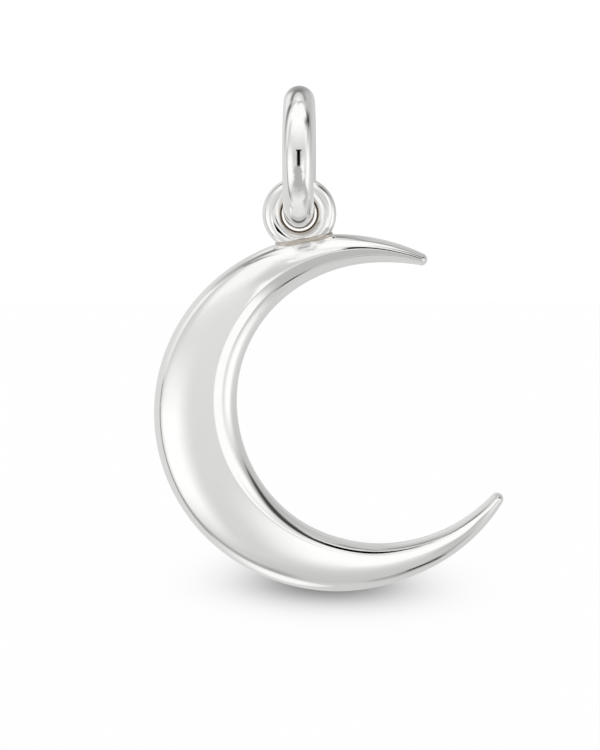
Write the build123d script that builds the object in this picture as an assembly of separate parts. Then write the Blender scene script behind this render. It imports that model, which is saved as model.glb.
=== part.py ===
from build123d import *
import math
import os

# Moon pendant: a crescent moon with a loop soldered to its top edge, hanging on a bail ring.
# Lengths are in millimetres and angles in degrees.
# X runs to the right across the moon's face, Y runs away from the viewer and Z is up.
# The origin is the seat inside the top of the bail ring, where a chain bears.

# Bail ring: round wire closed into a ring, standing almost edge on to the moon's face
ring_wire = 1.4
ring_bore = 3.7
ring_turn = -1.6

# Loop: a small ring of round wire in the moon's own plane, round the bail ring's wire
loop_wire = 0.9
loop_clearance = 0.08
loop_bite = 0.5
solder_fillet = 0.2

# Crescent: its outer edge follows a circle, and its horns open out a little from that circle
moon_radius = 8.0
moon_shift = 1.4
crescent_width = 3.82
hub_shift = 1.07
moon_tilt = 12.0

# Crescent's section: a flat back with soft edges, a short wall and a dome with a ridge
dome_rise = 1.45
rim_wall = 0.25
back_round = 0.15
back_depth = 0.45
crown_overrun = 0.38

# Stations along the crescent, from the upper horn's tip round the back to the lower horn's tip.
# turn: angle round the hub from the crescent's own axis
# reach: outer edge's distance from the hub, as a share of the circle's distance there
# width: share of crescent_width
# ridge: place of the ridge, as a share of the width from the bay's edge
# rise: height of the dome, as a share of dome_rise
# fall: drop of the dome on the bay's side, as a share of the dome's height
station_columns = ("turn", "reach", "width", "ridge", "rise", "fall")
station_rows = (
    (53.5, 1.054, 0.148, 0.50, 0.36, 1.00),
    (60.0, 1.043, 0.208, 0.55, 0.46, 1.00),
    (70.0, 1.029, 0.292, 0.57, 0.55, 1.00),
    (83.0, 1.018, 0.405, 0.52, 0.63, 0.96),
    (100.0, 1.009, 0.555, 0.44, 0.74, 0.90),
    (120.0, 1.002, 0.715, 0.365, 0.86, 0.85),
    (148.0, 1.000, 0.905, 0.31, 0.96, 0.81),
    (178.0, 1.000, 1.000, 0.27, 1.00, 0.80),
    (208.0, 1.000, 0.933, 0.23, 0.98, 0.80),
    (236.0, 1.004, 0.755, 0.20, 0.89, 0.82),
    (253.0, 1.015, 0.630, 0.22, 0.80, 0.85),
    (266.0, 1.026, 0.520, 0.25, 0.72, 0.88),
    (278.0, 1.042, 0.425, 0.26, 0.65, 0.92),
    (290.0, 1.066, 0.338, 0.26, 0.58, 0.96),
    (300.0, 1.087, 0.266, 0.27, 0.51, 1.00),
    (309.0, 1.104, 0.200, 0.34, 0.44, 1.00),
    (315.7, 1.115, 0.148, 0.50, 0.36, 1.00),
)
stations = [dict(zip(station_columns, row)) for row in station_rows]

# Ring and loop: the loop's hole is centred on the bail ring's wire at the ring's lowest place
ring_middle_radius = (ring_bore + ring_wire) / 2
ring_z = -ring_bore / 2
loop_z = ring_z - ring_middle_radius
loop_middle_radius = ring_wire / 2 + loop_clearance + loop_wire / 2
loop_bottom_z = loop_z - loop_middle_radius - loop_wire / 2

# Centre of the moon's outer circle, with the loop's underside biting into the top edge
moon_z = loop_bottom_z + loop_bite - math.sqrt(moon_radius**2 - moon_shift**2)

# Hub: the point that the stations turn round, between the moon's centre and the bay's centre
hub_x = moon_shift + hub_shift * math.cos(math.radians(moon_tilt))
hub_z = moon_z + hub_shift * math.sin(math.radians(moon_tilt))


def station_plane(station):
    """Plane of a section: it holds the hub's line along Y, with its height towards the viewer."""
    heading = math.radians(moon_tilt + station["turn"])
    across = (math.cos(heading), 0, math.sin(heading))
    along = (math.sin(heading), 0, -math.cos(heading))
    return Plane(origin=(hub_x, back_depth, hub_z), x_dir=across, z_dir=along)


def station_sizes(station):
    """Distances from the hub of the outer edge, the bay's edge and the ridge, and the heights."""
    turn = math.radians(station["turn"])
    half_chord = math.sqrt(moon_radius**2 - (hub_shift * math.sin(turn))**2)
    outer = station["reach"] * (half_chord - hub_shift * math.cos(turn))
    width = station["width"] * crescent_width
    ridge = outer - width * (1 - station["ridge"])
    rise = station["rise"] * dome_rise
    return outer, outer - width, ridge, rise, rise * station["fall"]


def dome_side(edge, ridge, foot, drop):
    """Elliptical arc from the upright wall's top at the edge up to the ridge.

    The crown of the ellipse would lie past the ridge, so that the two sides meet in a crease.
    """
    span = abs(edge - ridge) / (1 - crown_overrun)
    height = drop / math.sqrt(1 - crown_overrun**2)
    swing = math.degrees(math.acos(crown_overrun))
    if edge > ridge:
        return EllipticalCenterArc((edge - span, foot), span, height, 0, arc_size=swing)
    return EllipticalCenterArc((edge + span, foot), span, height, 180 - swing, arc_size=swing)


def outer_half(outer, ridge, rise):
    """Back, soft back edge, wall and dome from under the ridge round the outer edge to it."""
    wall_top = back_round + rim_wall
    return [
        Line((ridge, 0), (outer - back_round, 0)),
        CenterArc((outer - back_round, back_round), back_round, -90, 90),
        Line((outer, back_round), (outer, wall_top)),
        dome_side(outer, ridge, wall_top, rise),
    ]


def section(station):
    """Closed outline of the crescent at one station."""
    outer, bay, ridge, rise, drop = station_sizes(station)
    bay_wall_top = back_round + rim_wall + rise - drop
    edges = outer_half(outer, ridge, rise) + [
        dome_side(bay, ridge, bay_wall_top, drop),
        Line((bay, bay_wall_top), (bay, back_round)),
        CenterArc((bay + back_round, back_round), back_round, 180, 90),
        Line((bay + back_round, 0), (ridge, 0)),
    ]
    return station_plane(station) * Wire(edges)


def horn_tip(station, turning):
    """Rounded end of a horn: half of the end section turned about the line under its ridge."""
    outer, _, ridge, rise, _ = station_sizes(station)
    height = back_round + rim_wall + rise
    edges = outer_half(outer, ridge, rise) + [Line((ridge, height), (ridge, 0))]
    plane = station_plane(station)
    half = plane * Face(Wire(edges))
    middle = plane.from_local_coords((ridge, 0, 0))
    return revolve(half, Axis(middle, (0, turning, 0)), 180)


def crescent():
    """Crescent with rounded horns, without its loop."""
    body = Solid.make_loft([section(station) for station in stations])
    return body + horn_tip(stations[0], 1) + horn_tip(stations[-1], -1)


def loop():
    """Small ring of round wire in the plane of the moon's face."""
    plane = Plane(origin=(0, 0, loop_z), x_dir=(1, 0, 0), z_dir=(0, 1, 0))
    return plane * Torus(loop_middle_radius, loop_wire / 2)


def bail_ring():
    """Closed ring of round wire in the plane across the moon's face."""
    plane = Plane(origin=(0, 0, ring_z), x_dir=(0, 1, 0), z_dir=(1, 0, 0))
    return Rot(0, 0, ring_turn) * (plane * Torus(ring_middle_radius, ring_wire / 2))


def moon():
    """Crescent and loop joined into one solid, with a fillet of solder along their seam."""
    face, eye = crescent(), loop()
    joined = face + eye
    return fillet(new_edges(face, eye, combined=joined), solder_fillet)


os.makedirs("parts", exist_ok=True)
export_step(bail_ring(), "parts/bail_ring.step")
export_step(moon(), "parts/moon.step")
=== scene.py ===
import bmesh
import bpy
import random
from math import acos, cos, degrees, exp, hypot, pi, radians, sin, sqrt
from mathutils import Matrix, Vector


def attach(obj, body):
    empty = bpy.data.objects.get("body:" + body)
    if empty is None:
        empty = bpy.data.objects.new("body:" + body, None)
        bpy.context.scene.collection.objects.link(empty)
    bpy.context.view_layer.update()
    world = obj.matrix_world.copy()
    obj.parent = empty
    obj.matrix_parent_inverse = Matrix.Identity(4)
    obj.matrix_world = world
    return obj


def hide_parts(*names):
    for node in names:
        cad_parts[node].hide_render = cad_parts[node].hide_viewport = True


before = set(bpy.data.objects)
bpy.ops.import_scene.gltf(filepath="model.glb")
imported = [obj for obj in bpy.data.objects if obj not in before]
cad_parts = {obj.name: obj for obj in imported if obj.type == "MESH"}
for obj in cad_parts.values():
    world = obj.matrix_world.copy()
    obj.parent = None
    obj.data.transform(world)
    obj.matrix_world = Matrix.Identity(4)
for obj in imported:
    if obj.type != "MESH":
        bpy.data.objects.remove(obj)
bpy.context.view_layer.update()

mm = 0.001             # pieces are worked in millimetres and scaled once, in makeObject

# the photograph's frame: 22 pixels a millimetre, looking along +Y from the ring's own height
photoView = {
    "distance": 220.0,
    "side": 0.031,
    "height": -1.85,
    "aimHeight": -11.723,
    "frameHeight": 34.05,
    "sensor": 36.0,
    "clipNear": 5.0,
    "clipFar": 20000.0,
}


def makeCamera(view):
    data = bpy.data.cameras.new("photoCamera")
    cam = bpy.data.objects.new("photoCamera", data)
    bpy.context.collection.objects.link(cam)
    place = Vector((view["side"], -view["distance"], view["height"])) * mm
    aim = Vector((view["side"], 0.0, view["aimHeight"])) * mm
    cam.location = place
    cam.rotation_euler = (aim - place).to_track_quat("-Z", "Y").to_euler()
    data.sensor_fit = "VERTICAL"
    data.sensor_height = view["sensor"]
    data.lens = view["sensor"] * (aim - place).length / (view["frameHeight"] * mm)
    data.clip_start = view["clipNear"] * mm
    data.clip_end = view["clipFar"] * mm
    bpy.context.scene.camera = cam


makeCamera(photoView)
print("camera placed")

# studio light seen in the polish: each card is a span of azimuth (0 at the camera, plus to the right)
# and a span of elevation, in degrees, with the softness of its edges and its level;
# a later card or strip covers an earlier one
studio = {
    "room": 0.64,
    "fill": 1.046,
    # azimuth from, to, elevation from, to, softness across and up, level at the foot and at the head
    "cards": {
        "rearLeft": (-178.0, -90.0, -62.0, 55.0, 3.5, 20.0, 0.69, 0.76),
        "rearRight": (102.0, 155.0, -9.0, 69.0, 16.0, 8.0, 0.63, 0.40),
        "rearTop": (94.0, 239.0, 44.0, 72.0, 14.0, 17.0, 0.58, 0.59),
        "frontWall": (-61.5, 48.0, -56.0, 35.0, 4.5, 9.5, 0.66, 0.78),
        "leftWall": (-72.5, -52.0, 2.0, 25.0, 6.5, 15.5, 0.87, 0.73),
        "leftGlow": (-97.0, -82.0, 11.0, 48.0, 4.5, 5.5, 0.80, 1.02),
        "rightWall": (68.0, 106.0, -31.0, 41.0, 22.0, 22.0, 0.95, 0.34),
        "topBox": (-65.5, 43.5, 31.5, 77.0, 12.0, 13.0, 0.92, 1.07),
        "skyBox": (-71.5, 112.0, 57.0, 100.0, 15.0, 18.0, 0.99, 0.97),
        "leftBox": (-81.0, -39.5, -39.0, 5.5, 9.5, 14.0, 1.03, 1.06),
        "rightBox": (68.0, 94.0, -35.5, 9.0, 10.5, 17.0, 1.04, 1.13),
        "lowRight": (36.0, 63.0, -55.0, -22.0, 6.5, 12.5, 0.54, 0.56),
        "lowFront": (-60.0, 58.0, -76.0, -50.0, 9.5, 6.0, 0.56, 0.61),
        "lowSide": (62.0, 90.0, -75.5, -40.5, 8.0, 7.0, 0.35, 0.61),
        "lowLeft": (-149.0, -51.5, -90.0, -58.0, 20.0, 12.0, 0.98, 1.00),
        "hornCard": (-11.5, 27.5, -40.5, -18.0, 12.0, 7.5, 1.00, 1.08),
        "hornTip": (5.0, 47.0, -38.5, -12.0, 3.0, 2.5, 1.03, 1.03),
        "lowSpot": (78.0, 99.5, -64.0, -52.5, 4.5, 3.0, 0.32, 0.56),
    },
    # strips along arcs of great circles: pairs of directions, half widths at both, softness, level
    "strips": {
        "rightStrip": ((37.5, -14.5), (70.5, 36.5), 12.0, 12.5, 9.5, 1.03),
        "lowArc": ((-91.0, -31.0), (-34.5, -68.5), 2.7, 5.8, 4.8, 0.37),
        "leftSeam": ((-89.0, -48.0), (-87.0, 8.0), 2.6, 2.0, 2.0, 0.26),
        "faceGlow": ((-60.0, 38.0), (-32.0, 41.0), 6.0, 6.0, 6.0, 0.97),
        "faceEdge": ((-19.0, 25.0), (24.0, 54.0), 8.0, 8.0, 4.5, 0.735),
        "armThin": ((56.0, 61.5), (14.0, 70.0), 2.8, 2.1, 1.2, 0.02),
        "armTip": ((14.0, 70.0), (-48.0, 65.0), 2.1, 2.6, 1.2, 0.03),
        "armFar": ((-48.0, 65.0), (-83.0, 58.0), 2.6, 1.8, 1.2, 0.22),
        "armLast": ((-80.0, 58.5), (-95.0, 57.5), 1.6, 1.4, 1.0, 0.30),
        "creaseLine": ((175.0, 84.0), (133.0, 64.0), 2.4, 2.4, 1.5, 0.20),
        "hornLow": ((56.0, -67.0), (80.0, -60.0), 3.2, 3.0, 1.0, 0.02),
        "hornLowSide": ((79.0, -60.5), (97.0, -59.5), 2.8, 2.2, 1.0, 0.15),
        "hornLowFar": ((59.0, -66.0), (40.0, -75.0), 2.2, 2.6, 1.5, 0.35),
        "hornLowEnd": ((79.0, -58.0), (79.0, -48.0), 2.8, 2.8, 1.5, 0.38),
        "armMiddle": ((46.5, 62.5), (89.5, 46.0), 4.7, 10.3, 4.0, 0.05),
        "armEnd": ((87.0, 49.5), (108.5, 23.0), 10.5, 6.0, 6.0, 0.05),
    },
}

# cards close round the bail ring, seen from inside only: radius from the ring's middle, then as above;
# a later card lies a little nearer than an earlier one
nearCards = {
    "ringHood": (12.0, (152.0, 208.0, 28.0, 66.0, 14.0, 3.0, 0.50, 0.16)),
    "ringCrown": (12.0, (96.0, 264.0, 65.0, 89.0, 16.0, 3.0, 0.56, 1.00)),
    "ringHoodLeft": (12.0, (-158.0, -112.0, 57.0, 66.0, 8.0, 3.0, 0.30, 0.12)),
    "ringHoodRight": (12.0, (112.0, 158.0, 56.0, 66.0, 8.0, 3.0, 0.42, 0.26)),
    "ringGlowLeft": (12.0, (-150.0, -115.0, 30.0, 50.0, 8.0, 6.0, 0.82, 0.90)),
    "ringTop": (12.0, (-73.0, 80.0, 46.5, 84.0, 10.0, 8.0, 1.02, 1.02)),
    "ringFront": (12.0, (-28.0, 48.0, -1.0, 50.0, 7.0, 12.0, 0.55, 1.10)),
    "ringSideLeft": (12.0, (-108.0, -88.0, 4.0, 62.0, 5.0, 8.0, 0.62, 0.10)),
    "ringSideRight": (12.0, (95.5, 110.0, 0.5, 40.0, 5.0, 4.0, 0.55, 0.30)),
    "blackFlag": (6.9, (-4.0, 9.4, -10.3, 8.2, 2.0, 0.65, 0.0, 0.0)),
    "blackBar": (6.9, (-7.1, 13.4, 7.1, 9.0, 1.5, 0.5, 0.01, 0.01)),
}

# small flat cards close to the ring, the loop and the horns, in millimetres: the axis that a card shines
# along, its place on that axis, then from, to, from, to and the softness on the other two, and its levels
flatCards = {
    "greyShelf": ("+Z", -4.28, (-1.4, 1.6, -11.2, -3.75, 0.5, 0.30), (0.46, 0.46)),
    "greyShelfMiddle": ("+Z", -4.275, (-1.8, 2.0, -8.0, -5.3, 0.5, 0.3), (0.46, 0.46)),
    "greyShelfFar": ("+Z", -4.27, (-2.8, 3.0, -11.2, -6.6, 0.6, 0.5), (0.46, 0.46)),
    "whiteShelf": ("+Z", -4.50, (-1.1, 1.1, -3.65, -2.70, 0.5, 0.15), (0.56, 0.92)),
    "footShelf": ("+Z", -5.00, (-0.8, 0.8, -2.9, -0.70, 0.3, 0.15), (0.86, 0.66)),
    "footBand": ("+Z", -4.99, (-0.6, 0.6, -1.62, -1.0, 0.3, 0.10), (0.55, 0.55)),
    "footLine": ("+Z", -4.98, (-0.6, 0.6, -1.34, -1.19, 0.3, 0.05), (0.10, 0.10)),
    "loopLeft": ("+Y", -7.00, (-3.4, -1.2, -7.4, -4.7, 0.4, 0.4), (1.0, 1.05)),
    "loopRight": ("+Y", -7.00, (2.6, 4.6, -7.4, -4.9, 0.4, 0.4), (1.0, 1.05)),
    "hornShelf": ("+Z", -9.40, (0.2, 10.0, -14.0, -1.6, 1.0, 0.2), (0.53, 0.50)),
    "bayShelf": ("+Z", -9.35, (0.2, 10.0, -1.90, 0.8, 1.0, 0.15), (0.63, 0.66)),
    "creaseShelf": ("+Z", -9.30, (0.5, 1.7, -1.98, -1.68, 0.5, 0.1), (0.02, 0.02)),
    "creaseShelfThin": ("+Z", -9.30, (2.6, 8.0, -1.55, -1.42, 0.8, 0.06), (0.2, 0.2)),
    "hornFlag": ("-Z", -5.00, (2.2, 8.5, -7.5, -1.65, 0.3, 0.15), (0.0, 0.0)),
    "loopFlag": ("+Y", -2.00, (-1.25, -0.45, -5.42, -4.80, 0.06, 0.06), (0.0, 0.0)),
    "flagRoof": ("-Z", -5.72, (-1.5, -0.2, -1.75, -1.15, 0.2, 0.2), (0.80, 1.05)),
    "faceRoof": ("-Z", -4.30, (-1.2, 2.2, -4.2, -2.5, 0.3, 0.15), (0.95, 0.95)),
    "bayFlag": ("-Z", -16.00, (5.2, 7.3, -1.55, 0.0, 0.6, 0.3), (0.22, 0.22)),
    "tipGlow": ("+Y", -14.50, (3.0, 18.0, -22.0, -9.9, 2.0, 0.4), (1.02, 1.02)),
}
white = (1.0, 1.0, 1.0, 1.0)
black = (0.0, 0.0, 0.0, 1.0)


def direction(azimuth, elevation):
    turn, tilt = radians(azimuth), radians(elevation)
    return Vector((sin(turn) * cos(tilt), -cos(turn) * cos(tilt), sin(tilt)))


# adds nodes to a tree; a value is a number, a colour or another node's socket, and None leaves a socket
class Nodes:
    def __init__(self, tree):
        self.tree = tree

    def add(self, kind, *values, **settings):
        node = self.tree.nodes.new(kind)
        for key, value in settings.items():
            setattr(node, key, value)
        for socket, value in zip(node.inputs, values):
            self.feed(socket, value)
        return node

    def feed(self, socket, value):
        if value is None:
            return
        if isinstance(value, bpy.types.NodeSocket):
            self.tree.links.new(value, socket)
        else:
            socket.default_value = value

    def math(self, operation, *values):
        return self.add("ShaderNodeMath", *values, operation=operation).outputs[0]

    def vector(self, operation, *values):
        return self.add("ShaderNodeVectorMath", *values, operation=operation).outputs["Value"]

    def slope(self, value, low, high, foot, head):
        return self.add("ShaderNodeMapRange", value, low, high, foot, head).outputs[0]

    def ramp(self, value, low, high):
        return self.add("ShaderNodeMapRange", value, low, high, interpolation_type="SMOOTHSTEP").outputs[0]

    def span(self, value, low, high, soft):
        rise = self.ramp(value, low - soft, low + soft)
        fall = self.ramp(value, high - soft, high + soft)
        return self.math("SUBTRACT", rise, fall)

    def noise(self, place, **values):
        node = self.add("ShaderNodeTexNoise", place)
        for name, value in values.items():
            node.inputs[name].default_value = value
        return node.outputs["Fac"]

    def mix(self, kind, share, under, over):
        node = self.add("ShaderNodeMix", data_type=kind)
        slots = [socket for socket in node.inputs if socket.enabled]
        for socket, value in zip(slots, (share, under, over)):
            self.feed(socket, value)
        return [socket for socket in node.outputs if socket.enabled][0]


def makeWorld(light):
    scene = bpy.context.scene
    scene.view_settings.view_transform = "Standard"
    scene.cycles.caustics_reflective = False   # the silver throws no bright specks on the paper
    world = bpy.data.worlds.new("studioLight")
    scene.world = world
    world.use_nodes = True
    world.node_tree.nodes.clear()
    n = Nodes(world.node_tree)
    coord = n.add("ShaderNodeTexCoord").outputs["Generated"]
    right, away, up = n.add("ShaderNodeSeparateXYZ", coord).outputs
    azimuth = n.math("DEGREES", n.math("ARCTAN2", right, n.math("MULTIPLY", away, -1.0)))
    elevation = n.math("DEGREES", n.math("ARCSINE", up))
    level = light["room"]
    for low, high, bottom, top, softAcross, softUp, foot, head in light["cards"].values():
        across = n.span(azimuth, low, high, softAcross)
        if high > 180.0:   # a card that passes straight behind the object
            across = n.math("SUBTRACT", 1.0, n.span(azimuth, high - 360.0, low, softAcross))
        mask = n.math("MULTIPLY", across, n.span(elevation, bottom, top, softUp))
        level = n.mix("FLOAT", mask, level, n.slope(elevation, bottom, top, foot, head))
    for start, end, wideStart, wideEnd, soft, value in light["strips"].values():
        start, end = direction(*start), direction(*end)
        pole, middle = start.cross(end).normalized(), (start + end).normalized()
        reach = degrees(start.angle(end)) / 2
        ahead, beside, aside = (n.vector("DOT_PRODUCT", coord, tuple(axis))
                                for axis in (middle, pole.cross(middle), pole))
        along = n.math("DEGREES", n.math("ARCTAN2", beside, ahead))
        off = n.math("ABSOLUTE", n.math("DEGREES", n.math("ARCSINE", aside)))
        wide = n.slope(along, -reach, reach, wideStart, wideEnd)
        inside = n.ramp(n.math("SUBTRACT", wide, off), -soft, soft)
        level = n.mix("FLOAT", n.math("MULTIPLY", inside, n.span(along, -reach, reach, soft)), level, value)
    polish = n.add("ShaderNodeBackground", level).outputs[0]
    fill = n.add("ShaderNodeBackground", white, light["fill"]).outputs[0]
    glossy = n.add("ShaderNodeLightPath").outputs["Is Glossy Ray"]
    n.add("ShaderNodeOutputWorld", n.add("ShaderNodeMixShader", glossy, fill, polish).outputs[0])


makeWorld(studio)
print("studio light made")


def makeObject(bm, name):
    # scales the worked mesh to metres and makes it an object at the origin
    bmesh.ops.scale(bm, verts=bm.verts, vec=(mm, mm, mm))
    mesh = bpy.data.meshes.new(name)
    bm.to_mesh(mesh)
    bm.free()
    obj = bpy.data.objects.new(name, mesh)
    bpy.context.collection.objects.link(obj)
    return obj


# floor, cards and film, in millimetres
stage = {
    "floorSize": 900.0,
    "floorHeight": -21.68,
    "floorTone": 0.95,
    "ringMiddle": (0.0, 0.0, -1.85),
    "cardSteps": 48,
    "cardGap": 0.1,       # how much nearer each card round the ring lies than the one before
    # film over the paper that stands in for the object's soft shadow: middle, reach to the sides,
    # to the front and to the back, slant, fall and density
    "shadeMiddle": (1.33, 5.05),
    "shadeSide": 3.74,
    "shadeFront": 10.5,
    "shadeBack": 15.2,
    "shadeSlant": -0.25,
    "shadeFall": 2.2,
    "shadeDensity": 0.813,
    "shadeLift": 0.2,
    "shadeSpread": 5.0,   # width of the film, in reaches
}


def paperMaterial(tone):
    mat = bpy.data.materials.new("palePaper")
    mat.use_nodes = True
    shader = mat.node_tree.nodes["Principled BSDF"]
    shader.inputs["Base Color"].default_value = (tone, tone, tone, 1.0)
    shader.inputs["Roughness"].default_value = 1.0
    shader.inputs["Specular IOR Level"].default_value = 0.0
    return mat


def emptyMaterial(name):
    mat = bpy.data.materials.new(name)
    mat.use_nodes = True
    mat.node_tree.nodes.clear()
    return mat, Nodes(mat.node_tree)


def cardMaterial():
    # shines from its front and lets light through its back and its soft border
    mat, n = emptyMaterial("nearCard")
    cover = n.add("ShaderNodeAttribute", attribute_name="cover").outputs["Fac"]
    level = n.add("ShaderNodeAttribute", attribute_name="level").outputs["Fac"]
    front = n.math("SUBTRACT", 1.0, n.add("ShaderNodeNewGeometry").outputs["Backfacing"])
    clear = n.add("ShaderNodeBsdfTransparent").outputs[0]
    shine = n.add("ShaderNodeEmission", white, level).outputs[0]
    mixed = n.add("ShaderNodeMixShader", n.math("MULTIPLY", cover, front), clear, shine)
    n.add("ShaderNodeOutputMaterial", mixed.outputs[0])
    return mat


def filmMaterial(density):
    # dark film that is thick in its middle and clear at its border
    mat, n = emptyMaterial("shadeFilm")
    cover = n.add("ShaderNodeAttribute", attribute_name="cover").outputs["Fac"]
    clear = n.add("ShaderNodeBsdfTransparent").outputs[0]
    dark = n.add("ShaderNodeBsdfTransparent", black).outputs[0]
    mixed = n.add("ShaderNodeMixShader", n.math("MULTIPLY", cover, density), clear, dark)
    n.add("ShaderNodeOutputMaterial", mixed.outputs[0])
    return mat


def clamp(value):
    return min(max(value, 0.0), 1.0)


def smoothStep(value, low, high):
    share = clamp((value - low) / (high - low))
    return share * share * (3.0 - 2.0 * share)


def softGrid(name, mat, shape, inward):
    # grid whose shape(across, up), both from 0 to 1, gives a point, its cover and its level
    bm = bmesh.new()
    cover = bm.verts.layers.float.new("cover")
    level = bm.verts.layers.float.new("level")
    steps = stage["cardSteps"]
    bmesh.ops.create_grid(bm, x_segments=steps, y_segments=steps, size=0.5)
    for vert in bm.verts:
        vert.co, vert[cover], vert[level] = shape(vert.co.x + 0.5, vert.co.y + 0.5)
    if inward:
        bmesh.ops.reverse_faces(bm, faces=bm.faces)
    card = makeObject(bm, name)
    card.data.materials.append(mat)
    card.visible_camera = card.visible_diffuse = card.visible_shadow = False
    card.visible_transmission = card.visible_volume_scatter = False
    return card


def softCard(name, mat, area, levels, place, inward):
    # card with a soft border; place gives the point for a pair of coordinates
    left, right, low, high, softAcross, softUp = area

    def shape(across, up):
        across = left - softAcross + across * (right - left + 2 * softAcross)
        up = low - softUp + up * (high - low + 2 * softUp)
        inside = 1.0
        for value, start, end, soft in ((across, left, right, softAcross), (up, low, high, softUp)):
            inside *= (smoothStep(value, start - soft, start + soft)
                       - smoothStep(value, end - soft, end + soft))
        share = clamp((up - low) / (high - low))
        return place(across, up), inside, levels[0] + (levels[1] - levels[0]) * share

    softGrid(name, mat, shape, inward)


def makeShade(kit):
    middle, height = kit["shadeMiddle"], kit["floorHeight"] + kit["shadeLift"]

    def shape(across, up):
        x = (across - 0.5) * kit["shadeSpread"] * kit["shadeSide"]
        y = (up - 0.5) * kit["shadeSpread"] * kit["shadeBack"]
        off = y - kit["shadeSlant"] * x
        reach = kit["shadeBack"] if off > 0 else kit["shadeFront"]
        cover = exp(-hypot(x / kit["shadeSide"], off / reach) ** kit["shadeFall"])
        return Vector((middle[0] + x, middle[1] + y, height)), cover, 0.0

    shade = softGrid("shadeFilm", filmMaterial(kit["shadeDensity"]), shape, False)
    shade.visible_glossy = False
    shade.visible_diffuse = shade.visible_shadow = True
    return shade


def makeFloor(kit):
    bm = bmesh.new()
    bmesh.ops.create_grid(bm, x_segments=1, y_segments=1, size=kit["floorSize"] / 2)
    bmesh.ops.translate(bm, verts=bm.verts, vec=(0.0, 0.0, kit["floorHeight"]))
    floor = makeObject(bm, "paleFloor")
    floor.data.materials.append(paperMaterial(kit["floorTone"]))
    floor.visible_glossy = False   # the polish sees the studio cards only


def makeCards(kit):
    mat = cardMaterial()
    middle = Vector(kit["ringMiddle"])
    for count, (name, (radius, card)) in enumerate(nearCards.items()):
        softCard(name, mat, card[:6], card[6:],
                 lambda az, el: middle + direction(az, el) * (radius - kit["cardGap"] * count), True)
    for name, (shine, at, area, levels) in flatCards.items():
        if shine[1] == "Z":
            softCard(name, mat, area, levels, lambda x, y: Vector((x, y, at)), shine == "-Z")
        else:
            softCard(name, mat, area, levels, lambda x, z: Vector((x, at, z)), shine == "+Y")


shade = makeShade(stage)
makeFloor(stage)
makeCards(stage)
print("floor, film and cards laid")

# bail ring: round wire closed into a ring, standing almost edge on
bailRing = {
    "wire": 1.4,
    "bore": 3.7,
    "turn": -1.6,
    "around": 192,
    "section": 64,
}


def wireRing(middle, wire, steps, segments):
    # round wire spun into a closed ring about the X axis, centred on the origin
    bm = bmesh.new()
    bmesh.ops.create_circle(bm, segments=segments, radius=wire / 2)
    bmesh.ops.rotate(bm, verts=bm.verts, matrix=Matrix.Rotation(pi / 2, 3, "Y"))
    bmesh.ops.rotate(bm, verts=bm.verts, matrix=Matrix.Rotation(pi / 2, 3, "Z"))
    bmesh.ops.translate(bm, verts=bm.verts, vec=(0.0, 0.0, middle))
    bmesh.ops.spin(bm, geom=bm.verts[:] + bm.edges[:], cent=(0.0, 0.0, 0.0), axis=(1.0, 0.0, 0.0),
                   angle=2 * pi, steps=steps, use_merge=True, use_duplicate=False)
    bmesh.ops.recalc_face_normals(bm, faces=bm.faces)
    return bm


# crescent: sections along it, from the upper horn's tip round the back to the lower horn's tip
crescent = {
    "radius": 8.0,
    "shift": 1.4,
    "width": 3.82,
    "hubShift": 1.07,
    "tilt": 12.0,
    "domeRise": 1.45,
    "rimWall": 0.25,
    "backRound": 0.15,
    "backDepth": 0.45,
    "crownOverrun": 0.38,
    # softened ridge: its reach to each side, the most it takes of a side, its points and its lift
    "ridgeSoft": 0.10,
    "ridgeMost": 0.3,
    "ridgeShares": (0.0, 0.4, 0.75),
    "ridgeLift": 0.25,
    "sections": 320,
    "domeSteps": 22,
    "roundSteps": 4,
    "backSteps": 4,
    "tipSteps": 16,
    "weld": 0.0005,
    # turn, reach, width, ridge, rise, fall, as in the source of the solids
    "stations": (
        (53.5, 1.054, 0.148, 0.50, 0.36, 1.00),
        (60.0, 1.043, 0.208, 0.55, 0.46, 1.00),
        (70.0, 1.029, 0.292, 0.57, 0.55, 1.00),
        (83.0, 1.018, 0.405, 0.52, 0.63, 0.96),
        (100.0, 1.009, 0.555, 0.44, 0.74, 0.90),
        (120.0, 1.002, 0.715, 0.365, 0.86, 0.85),
        (148.0, 1.000, 0.905, 0.31, 0.96, 0.81),
        (178.0, 1.000, 1.000, 0.27, 1.00, 0.80),
        (208.0, 1.000, 0.933, 0.23, 0.98, 0.80),
        (236.0, 1.004, 0.755, 0.20, 0.89, 0.82),
        (253.0, 1.015, 0.630, 0.22, 0.80, 0.85),
        (266.0, 1.026, 0.520, 0.25, 0.72, 0.88),
        (278.0, 1.042, 0.425, 0.26, 0.65, 0.92),
        (290.0, 1.066, 0.338, 0.26, 0.58, 0.96),
        (300.0, 1.087, 0.266, 0.27, 0.51, 1.00),
        (309.0, 1.104, 0.200, 0.34, 0.44, 1.00),
        (315.7, 1.115, 0.148, 0.50, 0.36, 1.00),
    ),
}

# loop of round wire at the moon's top edge, and the solder round its foot
loop = {
    "wire": 0.9,
    "clearance": 0.08,
    "bite": 0.5,
    "around": 160,
    "section": 48,
    "forward": 0.002,                    # keeps the loop's points off the crescent's own
    "seamStart": (1.31, -0.20, -5.37),   # where the bead's waves begin
    "seamSmoothing": 4,
    "seamShortest": 1e-9,                # so that no stretch of the seam has no length
    "beadSteps": 260,
    "beadSides": 14,
    "beadRadius": 0.13,
    "beadUneven": 0.55,
    # waves along the bead: seed, how many, from and to turns, lightest and heaviest
    "beadSeed": 7,
    "beadWaves": 7,
    "beadTurns": (2, 11),
    "beadWeights": (0.3, 1.0),
    "beadFlush": 0.004,
}
ringMiddle = (bailRing["bore"] + bailRing["wire"]) / 2
ringHeight = -bailRing["bore"] / 2
loopHeight = ringHeight - ringMiddle
loopMiddle = bailRing["wire"] / 2 + loop["clearance"] + loop["wire"] / 2
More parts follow.
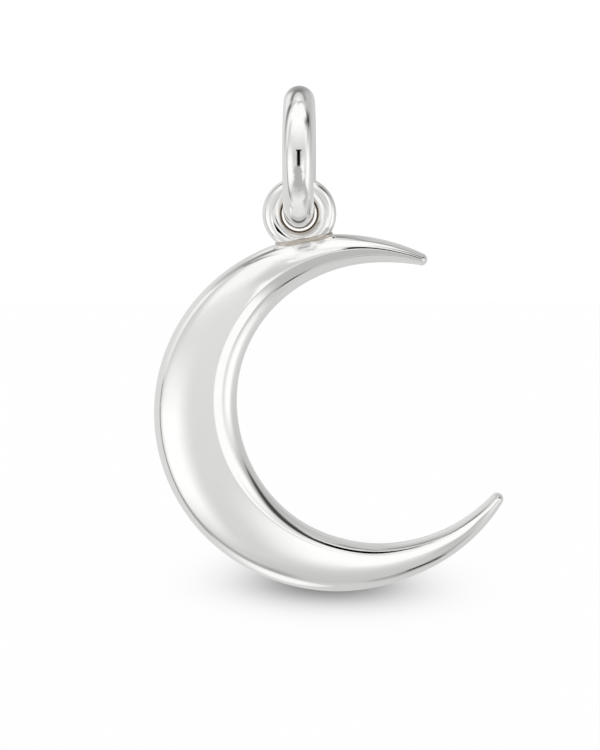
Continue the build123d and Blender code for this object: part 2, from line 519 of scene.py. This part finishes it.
moonHeight = (loopHeight - loopMiddle - loop["wire"] / 2 + loop["bite"]
              - sqrt(crescent["radius"] ** 2 - crescent["shift"] ** 2))


def splineBends(turns, values):
    # second slopes of a natural cubic spline through the values, none at its ends
    last = len(turns) - 1
    gaps = [turns[k + 1] - turns[k] for k in range(last)]
    slopes = [(values[k + 1] - values[k]) / gaps[k] for k in range(last)]
    factor, result, bends = [0.0] * (last + 1), [0.0] * (last + 1), [0.0] * (last + 1)
    for k in range(1, last):
        pivot = 2 * (gaps[k - 1] + gaps[k]) - gaps[k - 1] * factor[k - 1]
        factor[k] = gaps[k] / pivot
        result[k] = (6 * (slopes[k] - slopes[k - 1]) - gaps[k - 1] * result[k - 1]) / pivot
    for k in range(last - 1, 0, -1):
        bends[k] = result[k] - factor[k] * bends[k + 1]
    return bends


def smoothRows(rows, count):
    # rows at even turns between the stations, on a smooth curve through them
    turns = [row[0] for row in rows]
    columns = [[row[column] for row in rows] for column in range(1, len(rows[0]))]
    bends = [splineBends(turns, values) for values in columns]
    out, k = [], 0
    for step in range(count + 1):
        turn = turns[0] + (turns[-1] - turns[0]) * step / count
        while k < len(rows) - 2 and turn > turns[k + 1]:
            k += 1
        gap, left, right = turns[k + 1] - turns[k], turn - turns[k], turns[k + 1] - turn
        row = [turn]
        for values, bend in zip(columns, bends):
            row.append((bend[k] * right ** 3 + bend[k + 1] * left ** 3) / (6 * gap)
                       + (values[k] / gap - bend[k] * gap / 6) * right
                       + (values[k + 1] / gap - bend[k + 1] * gap / 6) * left)
        out.append(row)
    return out


def halfOutline(edge, ridge, foot, drop, kit):
    # points from the ridge down one side to the back and in under the ridge: across, height
    side = 1.0 if edge > ridge else -1.0
    overrun = kit["crownOverrun"]
    span = abs(edge - ridge) / (1 - overrun)
    rise = drop / sqrt(1 - overrun ** 2)
    soft = min(kit["ridgeSoft"], kit["ridgeMost"] * abs(edge - ridge))
    softEnd = acos(overrun + soft / span)

    def dome(angle):
        return edge - side * span * (1 - cos(angle)), foot + rise * sin(angle)

    # the ridge is a parabola that meets the dome's slope
    apex, start = dome(acos(overrun)), dome(softEnd)
    slope = (start[1] - apex[1]) / abs(start[0] - apex[0])
    points = [(apex[0] + side * soft * share,
               apex[1] + slope * soft * share + kit["ridgeLift"] * slope * soft * (1 - share) ** 2)
              for share in kit["ridgeShares"]]
    points += [dome(softEnd * (1 - k / kit["domeSteps"])) for k in range(kit["domeSteps"] + 1)]
    corner = kit["backRound"]
    for k in range(kit["roundSteps"] + 1):
        angle = radians(90.0 * k / kit["roundSteps"])
        points.append((edge - side * corner * (1 - cos(angle)), corner * (1 - sin(angle))))
    for k in range(1, kit["backSteps"] + 1):
        share = k / kit["backSteps"]
        points.append(((edge - side * corner) * (1 - share) + ridge * share, 0.0))
    return points


def skin(outlines):
    # tube through closed outlines of equally many points, and the points and edges of its two ends
    bm = bmesh.new()
    step = bm.verts.layers.int.new("step")
    ring = bmesh.ops.create_circle(bm, segments=len(outlines[0]), radius=1.0)["verts"]
    for k, vert in enumerate(ring):
        vert[step] = k
    edges, ends = bm.edges[:], []
    for count, outline in enumerate(outlines):
        if count:
            grown = bmesh.ops.extrude_edge_only(bm, edges=edges)["geom"]
            ring = [item for item in grown if isinstance(item, bmesh.types.BMVert)]
            edges = [item for item in grown if isinstance(item, bmesh.types.BMEdge)]
        for vert in ring:
            vert.co = outline[vert[step]]
        ends = ends[:1] + [(ring, edges)]
    return bm, ends


def makeCrescent(kit):
    tilt, wallTop = radians(kit["tilt"]), kit["backRound"] + kit["rimWall"]
    hub = Vector((kit["shift"] + kit["hubShift"] * cos(tilt), kit["backDepth"],
                  moonHeight + kit["hubShift"] * sin(tilt)))
    outlines, feet = [], []
    for turn, reach, width, ridgeShare, rise, fall in smoothRows(kit["stations"], kit["sections"]):
        angle = radians(turn)
        outer = reach * (sqrt(kit["radius"] ** 2 - (kit["hubShift"] * sin(angle)) ** 2)
                         - kit["hubShift"] * cos(angle))
        width *= kit["width"]
        rise *= kit["domeRise"]
        bay, ridge = outer - width, outer - width * (1 - ridgeShare)
        outerHalf = halfOutline(outer, ridge, wallTop, rise, kit)
        bayHalf = halfOutline(bay, ridge, wallTop + rise * (1 - fall), rise * fall, kit)
        ridgeTop = (outerHalf[0][1] + bayHalf[0][1]) / 2
        points = [(ridge, ridgeTop)] + outerHalf[1:] + bayHalf[-2:0:-1]
        across = Vector((cos(tilt + angle), 0.0, sin(tilt + angle)))
        outlines.append([hub + across * x + Vector((0.0, -height, 0.0)) for x, height in points])
        feet.append(hub + across * ridge)
    bm, ends = skin(outlines)
    # rounded tips: the outer half of each end section swept half round the line under its ridge
    step = bm.verts.layers.int["step"]
    for (ring, _), foot, turning in zip(ends, (feet[0], feet[-1]), (1.0, -1.0)):
        half = [vert for vert in ring if vert[step] < len(outerHalf)]
        held = set(half)
        profile = [edge for edge in bm.edges if held.issuperset(edge.verts)]
        bmesh.ops.spin(bm, geom=half + profile, cent=foot, axis=(0.0, turning, 0.0),
                       angle=pi, steps=kit["tipSteps"], use_merge=False, use_duplicate=False)
    bmesh.ops.remove_doubles(bm, verts=bm.verts, dist=kit["weld"])
    bmesh.ops.recalc_face_normals(bm, faces=bm.faces)
    return bm


def makeLoop(kit):
    bm = wireRing(loopMiddle, kit["wire"], kit["around"], kit["section"])
    bmesh.ops.rotate(bm, verts=bm.verts, matrix=Matrix.Rotation(pi / 2, 3, "Z"))
    bmesh.ops.translate(bm, verts=bm.verts, vec=(0.0, -kit["forward"], loopHeight))
    return bm


def joined(name, first, second):
    # exact union of two closed meshes; the faces of the second have material 1
    whole, tool = makeObject(first, name), makeObject(second, "tool")
    for obj in (whole, tool):
        for _ in range(2):
            obj.data.materials.append(None)
    for polygon in tool.data.polygons:
        polygon.material_index = 1
    union = whole.modifiers.new("union", "BOOLEAN")
    union.operation, union.solver, union.object = "UNION", "EXACT", tool
    union.material_mode = "INDEX"
    evaluated = whole.evaluated_get(bpy.context.evaluated_depsgraph_get())
    mesh = bpy.data.meshes.new_from_object(evaluated)
    whole.modifiers.clear()
    bare, whole.data = whole.data, mesh
    bpy.data.meshes.remove(bare)
    bpy.data.objects.remove(tool)
    mesh.name = name
    return whole


def seamLine(obj, kit):
    # points, in millimetres, along the closed seam where the crescent's faces meet the loop's
    bm = bmesh.new()
    bm.from_mesh(obj.data)
    near = {}
    for edge in bm.edges:
        if len({face.material_index for face in edge.link_faces}) == 2:
            for vert in edge.verts:
                near.setdefault(vert.index, (vert.co.copy(), []))[1].append(edge.other_vert(vert).index)
    # from the named point on the right, along the front first
    start = min(near, key=lambda index: (near[index][0] / mm - Vector(kit["seamStart"])).length)
    line, before, here = [], None, start
    while here != start or not line:
        line.append(near[here][0] / mm)
        onward = [index for index in near[here][1] if index != before]
        before, here = here, min(onward, key=lambda index: near[index][0].y)
    bm.free()
    print("seam points", len(line), "of", len(near))
    return line


def evenly(line, count, kit):
    # points at even steps along a closed line, smoothed
    lengths = [0.0]
    for one, other in zip(line, line[1:] + line[:1]):
        lengths.append(lengths[-1] + (other - one).length)
    points, k = [], 0
    for step in range(count):
        along = lengths[-1] * step / count
        while lengths[k + 1] < along:
            k += 1
        share = (along - lengths[k]) / max(lengths[k + 1] - lengths[k], kit["seamShortest"])
        points.append(line[k].lerp(line[(k + 1) % len(line)], share))
    for _ in range(kit["seamSmoothing"]):
        points = [(points[k - 1] + points[k] * 2 + points[(k + 1) % count]) / 4 for k in range(count)]
    return points


def makeSolder(line, kit):
    # uneven bead along the seam, dressed flush with the flat back
    count, sides = kit["beadSteps"], kit["beadSides"]
    points = evenly(line, count, kit)
    random.seed(kit["beadSeed"])
    waves = [(random.randint(*kit["beadTurns"]), random.uniform(0.0, 2 * pi),
              random.uniform(*kit["beadWeights"])) for _ in range(kit["beadWaves"])]
    total = sum(weight for _, _, weight in waves)
    middle, back = Vector((0.0, 0.0, loopHeight)), crescent["backDepth"] - kit["beadFlush"]
    outlines = []
    for k, point in enumerate(points):
        along = (points[(k + 1) % count] - points[k - 1]).normalized()
        across = along.cross((point - middle).normalized()).normalized()
        out = across.cross(along)
        wave = sum(weight * sin(turns * 2 * pi * k / count + phase)
                   for turns, phase, weight in waves) / total
        radius = kit["beadRadius"] * (1.0 + kit["beadUneven"] * wave)
        outline = []
        for side in range(sides):
            angle = 2 * pi * side / sides
            outline.append(point + (out * cos(angle) + across * sin(angle)) * radius)
            outline[-1].y = min(outline[-1].y, back)
        outlines.append(outline)
    bm, ends = skin(outlines)
    bmesh.ops.bridge_loops(bm, edges=ends[0][1] + ends[1][1])
    bmesh.ops.recalc_face_normals(bm, faces=bm.faces)
    return bm


def report(name, bm):
    openEdges = sum(1 for edge in bm.edges if len(edge.link_faces) != 2)
    print(name, "faces", len(bm.faces), "open edges", openEdges, "volume", round(bm.calc_volume(), 2))


ringMesh = wireRing(ringMiddle, bailRing["wire"], bailRing["around"], bailRing["section"])
bmesh.ops.rotate(ringMesh, verts=ringMesh.verts,
                 matrix=Matrix.Rotation(radians(bailRing["turn"]), 3, "Z"))
bmesh.ops.translate(ringMesh, verts=ringMesh.verts, vec=(0.0, 0.0, ringHeight))
report("ring", ringMesh)
ring = makeObject(ringMesh, "bail_ring_wire")
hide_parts("bail_ring")
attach(ring, "bail")

face = joined("moon_body", makeCrescent(crescent), makeLoop(loop))
solderMesh = makeSolder(seamLine(face, loop), loop)
report("solder", solderMesh)
bead = makeObject(solderMesh, "moon_solder")
for piece in (face, bead):
    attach(piece, "pendant")
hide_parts("moon")
shade.parent = face   # the film goes along when the moon swings
for piece in (ring, face, bead):
    piece.visible_diffuse = piece.visible_shadow = False   # the film makes the shadow
print("pieces made")

# silver: fine hairlines, faint smudges and a warm tint where polish doesn't reach;
# the recess is the crossing of ring and loop, which is darker and browner up to so far from the loop's
# middle
silverLooks = {
    "bailSilver": {"tint": 0.5, "smudge": 0.035, "hairline": 0.7, "base": 0.045,
                   "recess": 0.9, "recessFrom": 0.55, "recessTo": 0.95},
    "moonSilver": {"tint": 0.6, "smudge": 0.03, "hairline": 0.6, "base": 0.045,
                   "recess": 0.75, "recessFrom": 0.78, "recessTo": 1.0},
    "solderSilver": {"tint": 1.0, "smudge": 0.12, "hairline": 0.3, "base": 0.12,
                     "recess": 0.75, "recessFrom": 1.5, "recessTo": 2.6},
}

# wear that the three silvers share
wearLooks = {
    # hairlines: turn of each direction and fineness across it, then the rest of the mapping
    "lineTurns": ((0.4, 5.0), (1.5, 7.0), (2.5, 6.0)),
    "lineLean": (0.3, 0.2),
    "lineAlong": 0.35,
    "lineScale": 2.0,
    "lineDetail": 3.0,
    "lineWidth": 0.006,
    "lineRough": 0.04,
    "patchScale": 0.7,
    "patchSpan": (0.42, 0.62),
    "smudgeScale": 1.3,
    "smudgeDetail": 6.0,
    "smudgeGrain": 0.65,
    "smudgeSpan": (0.35, 0.75),
    "warmth": 0.35,
    "clean": (0.965, 0.962, 0.955, 1.0),
    "warm": (0.93, 0.915, 0.88, 1.0),
    "recessTone": (0.50, 0.44, 0.36, 1.0),
    # the corner round the solder, where the mop doesn't reach, stays satin
    "satinRough": 0.12,
    "satinMove": (-0.15, 0.6, 7.08),
    "satinSize": (0.6, 1.0, 1.2),
    "satinSpan": (0.45, 1.1),
    "bumpStrength": 0.12,
    "bumpDistance": 0.000004,
}


def silverWearGroup(kit):
    tree = bpy.data.node_groups.new("silverWear", "ShaderNodeTree")
    values = ("Smudge", "Hairline", "Base Roughness", "Tint", "Recess", "Satin")
    sockets = [("Place", "INPUT", "Vector")] + [(name, "INPUT", "Float") for name in values]
    sockets += [("Color", "OUTPUT", "Color"), ("Roughness", "OUTPUT", "Float"),
                ("Height", "OUTPUT", "Float")]
    for name, way, kind in sockets:
        tree.interface.new_socket(name=name, in_out=way, socket_type="NodeSocket" + kind)
    n = Nodes(tree)
    given = n.add("NodeGroupInput").outputs
    # hairlines: thin contours of noise drawn out along three directions
    lines = 0.0
    lean, swing = kit["lineLean"]
    for turn, fine in kit["lineTurns"]:
        drawn = n.add("ShaderNodeMapping", given["Place"], None, (lean, turn, swing),
                      (fine, fine, kit["lineAlong"])).outputs[0]
        noise = n.noise(drawn, Scale=kit["lineScale"], Detail=kit["lineDetail"])
        off = n.math("ABSOLUTE", n.math("SUBTRACT", noise, 0.5))
        lines = n.math("ADD", lines, n.slope(off, 0.0, kit["lineWidth"], 1.0, 0.0))
    patchy = n.ramp(n.noise(given["Place"], Scale=kit["patchScale"]), *kit["patchSpan"])
    scratch = n.math("MULTIPLY", n.math("MULTIPLY", lines, patchy), given["Hairline"])
    smudged = n.ramp(n.noise(given["Place"], Scale=kit["smudgeScale"], Detail=kit["smudgeDetail"],
                             Roughness=kit["smudgeGrain"]), *kit["smudgeSpan"])
    rough = n.math("MULTIPLY_ADD", smudged, given["Smudge"], given["Base Roughness"])
    rough = n.math("MULTIPLY_ADD", scratch, kit["lineRough"], rough)
    rough = n.math("MULTIPLY_ADD", given["Satin"], kit["satinRough"], rough)
    warmth = n.math("MULTIPLY", smudged, n.math("MULTIPLY", given["Tint"], kit["warmth"]))
    color = n.mix("RGBA", warmth, kit["clean"], kit["warm"])
    # darker and browner round the crossing of ring and loop
    color = n.mix("RGBA", given["Recess"], color, kit["recessTone"])
    n.add("NodeGroupOutput", color, rough, n.math("MULTIPLY", scratch, -1.0))
    return tree


silverWear = silverWearGroup(wearLooks)


def silver(name, looks, kit):
    mat = bpy.data.materials.new(name)
    mat.use_nodes = True
    shader = mat.node_tree.nodes["Principled BSDF"]
    n = Nodes(mat.node_tree)
    coord = n.add("ShaderNodeTexCoord").outputs["Object"]
    place = n.add("ShaderNodeMapping", coord, None, None, (1 / mm, 1 / mm, 1 / mm)).outputs[0]
    across = n.vector("DISTANCE", place, (0.0, 0.0, loopHeight))
    recess = n.math("SUBTRACT", 1.0, n.ramp(across, looks["recessFrom"], looks["recessTo"]))
    corner = n.add("ShaderNodeMapping", place, kit["satinMove"], None, kit["satinSize"]).outputs[0]
    satin = n.math("SUBTRACT", 1.0, n.ramp(n.vector("LENGTH", corner), *kit["satinSpan"]))
    wear = n.add("ShaderNodeGroup")
    wear.node_tree = silverWear
    for socket, value in (("Place", place), ("Smudge", looks["smudge"]), ("Hairline", looks["hairline"]),
                          ("Base Roughness", looks["base"]), ("Tint", looks["tint"]),
                          ("Recess", n.math("MULTIPLY", recess, looks["recess"])), ("Satin", satin)):
        n.feed(wear.inputs[socket], value)
    bump = n.add("ShaderNodeBump")
    for socket, value in (("Strength", kit["bumpStrength"]), ("Distance", kit["bumpDistance"]),
                          ("Height", wear.outputs["Height"])):
        n.feed(bump.inputs[socket], value)
    for socket, value in (("Metallic", 1.0), ("Base Color", wear.outputs["Color"]),
                          ("Roughness", wear.outputs["Roughness"]), ("Normal", bump.outputs[0])):
        n.feed(shader.inputs[socket], value)
    return mat


polish = {name: silver(name, looks, wearLooks) for name, looks in silverLooks.items()}


def dress(piece, *names):
    piece.data.materials.clear()
    for name in names:
        piece.data.materials.append(polish[name])
    bm = bmesh.new()
    bm.from_mesh(piece.data)
    for item in bm.faces:
        item.smooth = True
    for edge in bm.edges:   # the seam between crescent and loop stays a crease
        if len({item.material_index for item in edge.link_faces}) == 2:
            edge.smooth = False
    bm.to_mesh(piece.data)
    bm.free()


dress(ring, "bailSilver")
dress(face, "moonSilver", "moonSilver")
dress(bead, "solderSilver")
print("finishes applied")
